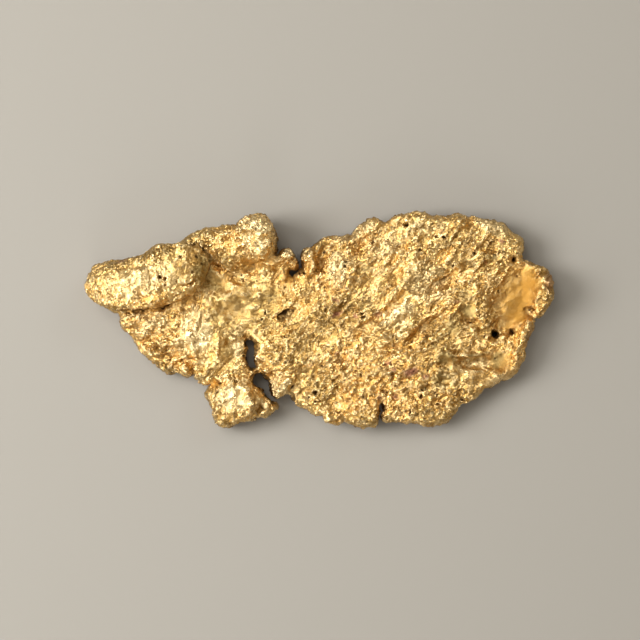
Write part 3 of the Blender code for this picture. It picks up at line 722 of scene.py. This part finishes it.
PIT_SHARE = 0.6  # weakens them all alike
RIM_HEIGHT, RIM_AT, RIM_SHARPNESS = 0.05, 1.7, 4  # the low burr round a pit


def unsettled(points):
    """The points, shifted a little to and fro, so that a round pit's edge comes out ragged."""
    return points + 0.2 * drift(points, 0.9, 70, 2) + 0.14 * drift(points, 0.35, 75)


def pit(points, middle, radius, depth):
    """Depth of one pit, with its burr, in millimetres."""
    away = np.linalg.norm(points[:, :2] - middle, axis=1) / radius
    burr = RIM_HEIGHT * np.exp(-(away - RIM_AT) ** 2 * RIM_SHARPNESS)
    return PIT_SHARE * (burr - depth * np.exp(-away ** 4))


ragged = unsettled(place)
pits = sum(pit(ragged, *one) for one in PITS)
print(len(PITS), "pits, the deepest", -pits.min().round(2), "mm")

# %% Lumps and dents
# middle, half lengths, turn in degrees, height (below 0 for a dent)
LUMPS = [
    ((6.2, 6.35), (1.15, 0.55), 12, 0.18), ((-16.45, -1.7), (0.75, 0.5), 20, 0.16),
    ((-7.9, 9.5), (0.55, 0.5), 0, 0.3), ((-8.3, 12.0), (0.9, 0.6), 20, 0.25),
    ((-9.4, 9.3), (0.5, 0.5), 0, 0.28), ((-8.5, 8.5), (0.45, 0.5), 0, 0.25),
    ((-7.15, 8.2), (0.5, 0.45), 0, 0.25), ((-10.6, 10.2), (0.6, 0.45), 30, 0.22),
    ((-7.05, 10.8), (0.5, 0.7), 0, 0.22), ((2.2, 7.3), (0.5, 0.4), -20, -0.2),
    ((-0.3, 6.8), (0.6, 1.6), -8, -0.2), ((-7.6, -11.0), (0.8, 0.8), 0, -0.2),
    ((17.2, 12.3), (0.5, 0.4), 0, 0.25), ((12.55, 12.6), (0.7, 0.4), 0, 0.2),
    ((21.4, 12.0), (0.7, 0.4), -20, 0.2), ((0.8, -12.3), (0.6, 0.4), 0, 0.25),
    ((5.4, -12.6), (0.9, 0.5), 0, 0.2), ((28.6, 4.9), (0.5, 0.8), -20, 0.2),
    ((-6.9, 10.4), (1.3, 2.6), 0, 0.55), ((-8.2, 11.8), (1.4, 1.0), 30, 0.3),
    ((-21.5, 5.6), (5.0, 1.6), 14, 0.2), ((-5.2, 0.8), (4.8, 4.2), 0, -0.35),
    ((-9.6, 2.6), (2.6, 2.2), 0, 0.35), ((-3.9, 8.3), (1.1, 1.1), 0, 0.35), ((-1.5, 8.4), (0.9, 1.3), 0, 0.3),
]
lumps = sum(height * oval(place + wobble, *where) for *where, height in LUMPS)
print(len(LUMPS), "lumps and dents")

# %% [markdown]
# ## Beating it in
#
# Each point of the net now moves along its normal by the sum of it all. The marks of the upper
# face act only where the gold faces up. The steep edges are torn as well as dented, all but the
# roll's, which was folded over. The back was rubbed smoother than the rest.

# %% The beaten skin
BACK_SHARE = 0.5  # share of the relief that is left on the back
BACK_FROM = -0.1  # a normal that points lower than this is on the back
EDGE_EXTRA = 0.15  # how much more relief the steep sides have
RAG_WIDTH, RAG_HEIGHT = 1.1, 0.2  # millimetres
SMOOTH_EDGE = (-22, 5), (9.5, 5.5), 14  # the roll has no torn edge


def beat(mesh, heights):
    moved = read(mesh, "co") + read(mesh, "normal") * heights[:, None] * MM
    mesh.vertices.foreach_set("co", moved.ravel())
    mesh.update()


facing_up = read(skin, "normal")[:, 2]
flatness = np.abs(facing_up)
rags = RAG_HEIGHT * crests(place + wobble, RAG_WIDTH, 95) * (1 - flatness) ** 2
rags *= 1 - oval(place, *SMOOTH_EDGE)
all_over = relief * (1 + EDGE_EXTRA * (1 - flatness)) + rags
all_over *= np.where(facing_up < BACK_FROM, BACK_SHARE, 1.0)
on_upper_face = np.clip(2.5 * facing_up + 0.2, 0, 1)
beat(skin, all_over + on_upper_face * (marks + pits + lumps))
print("beaten by", relief.min().round(2), "to", relief.max().round(2), "mm")

# %% [markdown]
# ## How hollow each point is
#
# The finish depends on the shape: dirt stays in the hollows, and whatever stands proud is rubbed
# bright. The colour also takes painted shade from the shape, in the hollows and on the steep
# flanks, and a painted highlight on the crests. How hollow a point is can be read from the mesh.
# Each point is compared with the mean of its neighbours, a few rings out for the fine hollows and
# many rings out for the wide ones. Attributes keep the result for the material.

# %% Measures of hollowness
FINE_RINGS, WIDE_RINGS, FLANK_RINGS = 3, 24, 12
FINE_HOLLOW, WIDE_HOLLOW = 0.07, 0.5  # millimetres over which the measure runs from 0 to 1
LEVEL_ENOUGH = 0.8  # a mean normal that points up by this is no flank


def neighbour_mean(values, edges, rings):
    """The values after each point has taken the mean of itself and its neighbours, many times over."""
    count = np.bincount(edges.ravel(), minlength=len(values))[:, None]
    for _ in range(rings):
        total = values.copy()
        np.add.at(total, edges[:, 0], values[edges[:, 1]])
        np.add.at(total, edges[:, 1], values[edges[:, 0]])
        values = total / (count + 1)
    return values


def keep(mesh, name, values):
    """Stores a number or a vector for each point, so that a material can read it by name."""
    values = np.asarray(values, dtype=np.float32)
    kind, part = ("FLOAT_VECTOR", "vector") if values.ndim == 2 else ("FLOAT", "value")
    mesh.attributes.new(name, kind, "POINT").data.foreach_set(part, values.ravel())


place, normal = read(skin, "co") / MM, read(skin, "normal")
edges = np.empty(len(skin.edges) * 2, dtype=np.int32)
skin.edges.foreach_get("vertices", edges)
edges = edges.reshape(-1, 2)
near_mean = neighbour_mean(place, edges, FINE_RINGS)
wide_mean = neighbour_mean(near_mean, edges, WIDE_RINGS)
hollow = ((near_mean - place) * normal).sum(axis=1)
basin = ((wide_mean - place) * normal).sum(axis=1)
mean_normal = neighbour_mean(normal, edges, FLANK_RINGS)
keep(skin, "hollow", np.clip(0.5 + hollow / FINE_HOLLOW, 0, 1))
keep(skin, "basin", np.clip(0.5 + basin / WIDE_HOLLOW, 0, 1))
keep(skin, "flank_shade", np.clip(1 - mean_normal[:, 2] / LEVEL_ENOUGH, 0, 1))
print("hollow", hollow.std().round(3), "mm, basin", basin.std().round(3), "mm")

# %% [markdown]
# ## Fewer triangles
#
# The net has more triangles than a shared part should carry. Most can go from the back, which
# lies on the floor, so a first decimation works on the back alone. A second one then takes
# triangles from wherever the skin is nearly flat and leaves them where it is crumpled. The
# measures of hollowness are carried along. Last, what is lower than the floor, or a hair above
# it, is worn flat, just as the solid's own back is.

# %% Decimation, and the worn flats
MOST_TRIANGLES = 194000
BACK_TAKEN = 0.8  # share of the back's triangles that the first decimation takes
WORN = 0.02  # millimetres above the floor that still count as worn flat


def thinned(nugget, facing_down):
    """The nugget's mesh with fewer triangles, most of them taken from the back."""
    nugget.vertex_groups.new(name="back").add(np.flatnonzero(facing_down).tolist(), 1.0, "REPLACE")
    back_first = nugget.modifiers.new("back_first", "DECIMATE")
    back_first.vertex_group = "back"
    back_first.ratio = 1 - BACK_TAKEN * facing_down.mean()
    then_all = nugget.modifiers.new("then_all", "DECIMATE")
    then_all.ratio = min(1.0, MOST_TRIANGLES / (2 * len(nugget.data.polygons) * back_first.ratio))
    bpy.context.view_layer.update()
    mesh = bpy.data.meshes.new_from_object(nugget.evaluated_get(bpy.context.evaluated_depsgraph_get()))
    nugget.modifiers.clear()
    nugget.vertex_groups.clear()
    return mesh


nugget = bpy.data.objects.new("nugget_skin", skin)
bpy.context.scene.collection.objects.link(nugget)
finished = thinned(nugget, normal[:, 2] <= 0)
nugget.data = finished
finished.name = "nugget_skin"
resting = read(finished, "co")
resting[resting[:, 2] < WORN * MM, 2] = 0
finished.vertices.foreach_set("co", resting.ravel())
finished.shade_smooth()
print("skin:", sum(len(p.vertices) - 2 for p in finished.polygons), "triangles")

# %% [markdown]
# The material needs the grain too, to lay its finest facets along it, and the share of the
# relief that is left, so that smooth patches stay smooth. A swirl breaks up the borders between
# the stretches, which here are sharp.

# %% The grain, for the material
SHARP_BORDERS = 30

place, normal = read(finished, "co") / MM, read(finished, "normal")
swirl = 0.4 * drift(place, 1.3, 45, 2)
keep(finished, "left", roughness_left(place))
keep(finished, "grain", along_grain(place + swirl, SHARP_BORDERS))
print("attributes:", [a.name for a in finished.attributes if not a.is_internal])

# %% [markdown]
# ## Stains, painted shade and painted light
#
# Water has left three kinds of stain: rust orange where it stood, olive grey on the smooth
# patches, and a dull mauve film on a few scattered grains. Other places are darker or brighter:
# partly tarnish and rubbed polish, and partly painted shade and painted light that darken or
# brighten large forms. Each kind is a list of ellipses with ragged edges, kept as an attribute of
# its own.

# %% Where the stains are
# middle, half lengths, turn in degrees, strength
ORANGE = [
    ((25.9, 4.0), (1.3, 3.4), -10, 1.0), ((25.0, 1.4), (1.3, 3.0), -22, 1.0),
    ((23.8, -0.9), (1.4, 1.2), 0, 0.8), ((24.3, 3.0), (2.6, 4.4), -20, 0.75),
    ((23.3, -5.8), (0.9, 1.6), 10, 0.6), ((-3.65, 5.4), (1.6, 1.2), 30, 0.7),
    ((-2.25, 6.6), (0.7, 1.0), 0, 0.7), ((-8.6, 6.8), (1.6, 0.6), 10, 0.7),
    ((-15.25, 7.8), (0.9, 1.4), 0, 0.6), ((-19.75, 1.4), (4.2, 0.5), 8, 0.5),
    ((2.7, 0.8), (0.8, 0.5), 40, 0.8), ((24.2, 7.6), (0.6, 0.9), 0, 0.9), ((-5.85, 7.9), (1.0, 0.8), 0, 0.5),
    ((8.85, 12.2), (1.2, 0.7), 0, 0.35), ((-8.4, -3.4), (0.4, 1.1), 0, 0.9),
    ((20.4, -1.6), (0.9, 0.7), 0, 0.6), ((-16.55, 2.6), (1.2, 0.5), 35, 0.5),
]
OLIVE = [
    ((-14.5, 6.6), (1.6, 2.8), 15, 1.0), ((-13.7, 4.6), (2.2, 1.2), -20, 0.8),
    ((18.3, 1.2), (1.2, 1.3), 0, 1.0), ((15.6, -4.7), (1.4, 0.9), 0, 1.0), ((15.6, -5.9), (0.9, 0.6), 0, 0.6),
    ((15.3, -7.4), (1.4, 1.0), 0, 1.0), ((22.4, -5.0), (1.5, 1.3), 0, 1.0),
    ((-11.5, -4.0), (1.0, 1.4), 0, 0.3), ((16.6, -0.6), (2.0, 1.8), 0, 0.8),
    ((19.4, -4.6), (1.8, 0.6), 0, 0.9), ((18.0, 3.0), (1.6, 1.6), 0, 0.6), ((-11.8, 7.8), (1.6, 1.0), 0, 0.6),
    ((5.4, 6.2), (1.4, 0.8), 10, 0.6), ((-5.65, 3.4), (2.4, 1.6), 0, 0.4), ((21.6, 7.6), (1.0, 0.7), 0, 0.5),
    ((16.4, 10.9), (1.4, 0.5), -10, 0.4), ((0.4, 9.2), (1.0, 0.8), 0, 0.5),
    ((-13.9, 0.6), (2.6, 1.2), 10, 0.3), ((14.8, -3.4), (1.4, 0.8), 0, 0.5),
]
MAUVE = [
    ((1.9, 2.6), (0.6, 0.3), -30, 1.0), ((2.1, 0.8), (0.9, 0.35), 25, 1.0), ((4.4, 0.5), (0.4, 0.4), 0, 0.9),
    ((7.2, 0.8), (0.8, 0.4), 30, 0.8), ((8.4, -5.3), (0.6, 0.4), 0, 0.8), ((9.15, -6.1), (0.5, 0.4), 0, 0.8),
    ((11.3, -6.4), (1.3, 0.7), 20, 1.0), ((13.15, -6.9), (0.6, 0.4), 0, 0.8),
    ((9.35, -9.6), (0.6, 0.5), 0, 0.8), ((7.3, -9.5), (0.5, 0.4), 0, 0.7), ((2.1, -4.1), (0.5, 0.3), 0, 0.7),
    ((22.6, 9.9), (0.6, 0.4), 0, 0.9), ((-24.55, 7.4), (1.0, 0.3), 15, 0.8),
    ((15.2, 11.0), (0.5, 0.4), 0, 0.6), ((20.6, 7.3), (0.4, 0.3), 0, 0.7), ((16.9, 2.4), (0.5, 0.3), 0, 0.6),
    ((-1.25, -5.6), (0.5, 0.3), 0, 0.5), ((28.6, 5.0), (0.9, 1.8), -15, 0.5),
    ((26.1, -2.2), (0.7, 2.0), -10, 0.4),
]
print("stains:", len(ORANGE), "orange,", len(OLIVE), "olive,", len(MAUVE), "mauve")

# %% Where it is tarnished and rubbed, and where shade and light are painted
# tarnish, with painted shade that darkens large forms which face the lamps
TARNISH_AND_SHADE_PATCHES = [
    ((-6.8, 1.6), (3.4, 3.4), 8, 1.0), ((2.2, 0.8), (5.4, 2.8), 18, 1.0),
    ((16.0, -7.0), (5.0, 6.0), -10, 0.4), ((20.6, 0.4), (2.4, 3.0), 0, 0.9),
    ((0.2, -8.4), (3.0, 3.4), 0, 1.0), ((27.8, 4.2), (2.6, 4.0), -14, 1.0),
    ((24.4, 2.0), (2.2, 4.0), -20, 0.6), ((-15.6, 9.9), (2.8, 1.8), 15, 0.9),
    ((16.0, 9.8), (2.4, 1.6), -10, 0.6), ((-3.0, -2.8), (3.8, 3.8), 0, 1.0),
    ((15.0, -12.2), (4.8, 1.8), -8, 0.8), ((-7.2, -10.8), (1.8, 1.4), 0, 0.9),
    ((-19.2, -5.9), (2.6, 1.1), -20, 1.0), ((-22.6, 7.9), (6.5, 1.3), 14, 1.0),
    ((6.0, -12.2), (4.6, 1.4), 0, 0.9), ((21.4, 8.6), (1.8, 2.6), -20, 0.5),
    ((-24.6, 1.6), (2.6, 0.8), 8, 0.6), ((26.4, 5.2), (2.0, 2.2), 0, 1.0),
    ((-12.0, -12.8), (3.0, 1.0), 10, 0.9), ((-13.4, -6.7), (2.6, 1.5), 0, 1.0),
    ((-12.9, -9.6), (1.2, 3.2), 10, 0.7), ((14.6, -1.6), (2.4, 2.2), 0, 1.0),
    ((26.0, -1.8), (1.2, 1.8), 0, 1.0), ((-28.8, 5.8), (1.0, 1.8), -20, 0.8),
    ((8.4, 4.2), (1.6, 1.6), 0, 0.6),
]
# rubbed polish, with painted light that brightens forms which face away from the left lamp
RUBBED_AND_LIT_PATCHES = [
    ((-7.8, 10.4), (2.8, 3.4), 0, 1.0), ((-22.2, 4.8), (6.0, 2.4), 14, 0.5),
    ((-21.0, -0.8), (3.0, 1.8), 0, 0.7), ((-15.8, -1.6), (2.8, 3.8), 0, 1.0),
    ((9.6, 0.8), (3.2, 1.7), 40, 0.9), ((13.6, 4.6), (3.4, 3.2), -30, 0.6), ((8.0, 9.2), (3.0, 1.8), 20, 0.5),
    ((-4.8, -8.4), (2.2, 2.4), 0, 1.0), ((-10.4, -9.2), (3.2, 2.6), 0, 1.0), ((2.2, 6.4), (1.6, 2.6), 0, 0.8),
    ((-3.8, 8.4), (3.0, 1.4), 10, 1.0), ((19.4, -5.2), (2.4, 1.8), 0, 0.8),
    ((4.4, 11.0), (3.6, 1.2), 20, 0.6), ((12.0, 11.4), (3.0, 1.4), 0, 0.4),
    ((-8.6, -4.8), (1.2, 2.6), 0, 0.9), ((22.8, -7.2), (2.4, 1.4), 20, 0.7),
    ((21.4, 11.8), (2.8, 1.2), -20, 0.8), ((-10.2, -3.0), (1.4, 2.2), 0, 0.8),
    ((-2.4, 8.2), (1.4, 1.6), 0, 0.8), ((-8.6, 12.2), (2.4, 1.2), 0, 0.8),
]
# attribute: patches, width of their ragged edge's waves, seed, how far the edge strays
KINDS = {
    "orange": (ORANGE, 1.4, 80, 0.55),
    "olive": (OLIVE, 1.0, 90, 0.55),
    "mauve": (MAUVE, 0.5, 100, 0.2),
    "tarnish_and_shade": (TARNISH_AND_SHADE_PATCHES, 1.6, 110, 0.55),
    "rubbed_and_lit": (RUBBED_AND_LIT_PATCHES, 1.6, 120, 0.55),
}


def patch_strength(points, facing_up, patches, wave, seed, stray):
    """Strength of one kind of patch at each point, 0 on the back."""
    ragged = points + stray * drift(points, wave, seed, 3)
    strength = np.max([amount * oval(ragged, *where) for *where, amount in patches], axis=0)
    return strength * np.clip(1.5 * facing_up + 0.2, 0, 1)


for name, values in KINDS.items():
    keep(finished, name, patch_strength(place, normal[:, 2], *values))
print("tarnished:", len(TARNISH_AND_SHADE_PATCHES), "places, rubbed:", len(RUBBED_AND_LIT_PATCHES))

# %% [markdown]
# The deeper pits are painted dark as well. They are only a few triangles wide, too few for the
# dark inside them to come from their shape alone.

# %% Dark pits
DARK_FROM = 0.48  # millimetres: shallower pits aren't dark
DARK_WIDTH = 1.02


def pit_shade(points, facing_up):
    """1 inside the deeper pits of the upper face, 0 elsewhere."""
    ragged = unsettled(points)
    shade = np.zeros(len(points))
    for middle, radius, depth in PITS:
        if depth >= DARK_FROM:
            away = np.linalg.norm(ragged[:, :2] - middle, axis=1) / (radius * DARK_WIDTH)
            shade = np.maximum(shade, np.exp(-away ** 4))
    return shade * (facing_up > 0)


keep(finished, "pit", pit_shade(place, normal[:, 2]))
print("dark pits:", sum(depth >= DARK_FROM for *_, depth in PITS))

# %% [markdown]
# ## Native gold
#
# Gold from a river is paler than a jeweller's, because a tenth or more of it is silver, and its
# hue drifts as that share changes. Over it lie, one after another, the tarnish with painted
# shade, the rubbed places with painted light, the crests with a painted highlight, the three
# stains, the film of clay and iron in the hollows with painted shade, the painted brown shade of
# the steep edges, and the painted black shade of the deepest hollows and the pits.

# %% The gold's colours
PALE, MID, DEEP = (0.93, 0.745, 0.435), (0.83, 0.575, 0.235), (0.71, 0.43, 0.14)
RUBBED_AND_LIT_GOLD, TARNISH_AND_SHADE_BROWN = (1.0, 0.81, 0.48), (0.45, 0.29, 0.10)
RUST, OLIVE_FILM, MAUVE_FILM = (0.45, 0.225, 0.025), (0.45, 0.34, 0.15), (0.38, 0.18, 0.12)
CLAY_AND_SHADE, EDGE_SHADE_BROWN, PAINTED_SHADE_BLACK = (0.26, 0.155, 0.055), (0.26, 0.12, 0.03), (0.035, 0.014, 0.004)

gold = bpy.data.materials.new("native_gold")
nodes = Nodes(gold)
millimetres = nodes.vector("SCALE", nodes.add("TexCoord", output="Object"), scale=1 / MM)


def cloud(scale, detail=3.0, rough=0.55):
    """Soft noise, 0 to 1, with scale swells to the millimetre."""
    sockets = {"Vector": millimetres, "Scale": scale, "Detail": detail, "Roughness": rough}
    return nodes.add("TexNoise", sockets=sockets)


hollow, basin = nodes.attribute("hollow"), nodes.attribute("basin")
silver, blotch, fine = cloud(0.12), cloud(0.9), cloud(5.5, 2.0, 0.6)
# the crests: rubbed bright, and given a painted highlight in their colour
crest_polish_and_highlight = nodes.between(1 - hollow + 0.25 * (fine - 0.5), 0.5, 0.85)
# dirt in the fine hollows, and painted shade darkening them
dirt_and_shade = nodes.between(hollow + 0.5 * (blotch - 0.5), 0.55, 1.05)
# dirt in the wide hollows, and painted shade darkening them
deep_dirt_and_shade = nodes.between(basin + 0.3 * (blotch - 0.5), 0.7, 1.0)
clay_and_shade = (dirt_and_shade * 0.45 + deep_dirt_and_shade * 0.22).clamped()
# painted shade: the steep sides are darkened towards brown
flank_shade = nodes.between(nodes.attribute("flank_shade"), 0.7, 1.05)
print("gold:", len(gold.node_tree.nodes), "nodes so far")

# %% One colour over another
# what lies on the gold, how much of it shows at most, its colour
COVERS = [
    (nodes.between(blotch, 0.4, 0.7), 0.45, PALE),
    # tarnish and painted shade
    (nodes.attribute("tarnish_and_shade"), 0.85, TARNISH_AND_SHADE_BROWN),
    # rubbed polish and painted light
    (nodes.attribute("rubbed_and_lit"), 0.85, RUBBED_AND_LIT_GOLD),
    # polish and a painted highlight on the crests
    (crest_polish_and_highlight, 0.6, PALE),
    (nodes.attribute("olive"), 0.9, OLIVE_FILM),
    (nodes.attribute("orange"), 0.85, RUST),
    (nodes.attribute("mauve"), 0.95, MAUVE_FILM),
    # clay in the hollows, and painted shade there
    (clay_and_shade, 1.0, CLAY_AND_SHADE),
    # painted shade on the steep sides
    (flank_shade, 0.8, EDGE_SHADE_BROWN),
    # painted shade: the deepest wide hollows are painted black
    (nodes.between(basin, 0.93, 1.0), 0.9, PAINTED_SHADE_BLACK),
    # painted shade inside the deeper pits
    (nodes.attribute("pit"), 0.97, PAINTED_SHADE_BLACK),
]

colour = nodes.mix(nodes.between(silver, 0.35, 0.65), MID, DEEP)
for cover, share, tint in COVERS:
    colour = nodes.mix(cover * share, colour, tint)
nodes.shade("Base Color", colour)
print("colours laid over the gold:", len(COVERS))

# %% [markdown]
# Dirt and stains make the gold rougher and a little less metallic, rust most of all. The crests
# are rubbed smoother than the flanks.

# %% How metallic and how rough
ROUGHNESS = 0.35

orange = nodes.attribute("orange")
stained = (nodes.attribute("olive") + nodes.attribute("mauve") + orange).clamped()
nodes.shade("Metallic", (1 - clay_and_shade * 0.2 - stained * 0.1 - orange * 0.45).clamped())
rougher = 0.14 * (blotch - 0.5) + clay_and_shade * 0.2 + stained * 0.2 - crest_polish_and_highlight * 0.08
nodes.shade("Roughness", (ROUGHNESS + rougher).clamped())
print("roughness about", ROUGHNESS)

# %% [markdown]
# Beaten gold glitters because its skin is all small facets, each of which mirrors another part
# of the room. A bump map made of soft noise gives waves instead, which look like wet plaster.
# Here each cell of a Voronoi texture leans the shading normal its own way by its own random
# colour, so every cell is a true flat facet. Three sizes are added: two drawn out along the
# grain and one, the finest, even in all directions. A faint bump roughens them.

# %% Facets in the shading normal
# which coordinates, facets to the millimetre, how far they lean
LEANS = [
    (nodes.attribute("grain", "Vector"), 1.6, 0.6),
    (nodes.attribute("grain", "Vector"), 4.2, 0.7),
    (millimetres, 8.0, 0.95),
]
PEENED_HEIGHT = 0.06 * MM

crispness = nodes.attribute("left") * (1 - orange * 0.5)
leaning = nodes.add("NewGeometry", output="Normal")
for coordinates, scale, lean in LEANS:
    spots = nodes.add("TexVoronoi", sockets={"Vector": coordinates, "Scale": scale})
    tilt = nodes.vector("SUBTRACT", spots.sibling("Color"), (0.5, 0.5, 0.5))
    leaning = nodes.vector("ADD", leaning, nodes.vector("SCALE", tilt, scale=crispness * lean))
faceted = nodes.vector("NORMALIZE", leaning)
peened = {"Strength": 1.0, "Distance": PEENED_HEIGHT, "Height": cloud(7.0, 3.0, 0.7), "Normal": faceted}
nodes.shade("Normal", nodes.add("Bump", sockets=peened))
finished.materials.clear()
finished.materials.append(gold)
print("gold:", len(gold.node_tree.nodes), "nodes")

# %% [markdown]
# ## How the picture is developed
#
# The view transform turns light into the colours of the picture. A filmic one fades the
# brightest flashes towards grey. The standard one keeps them yellow, and a look with more
# contrast deepens the shade between them.

# %% The view transform
view = bpy.context.scene.view_settings
view.view_transform = "Standard"
view.look = "Medium High Contrast"
print("view:", view.view_transform, "with", view.look)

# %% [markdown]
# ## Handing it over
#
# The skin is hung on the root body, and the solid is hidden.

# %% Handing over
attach(nugget, "root")
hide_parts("nugget")
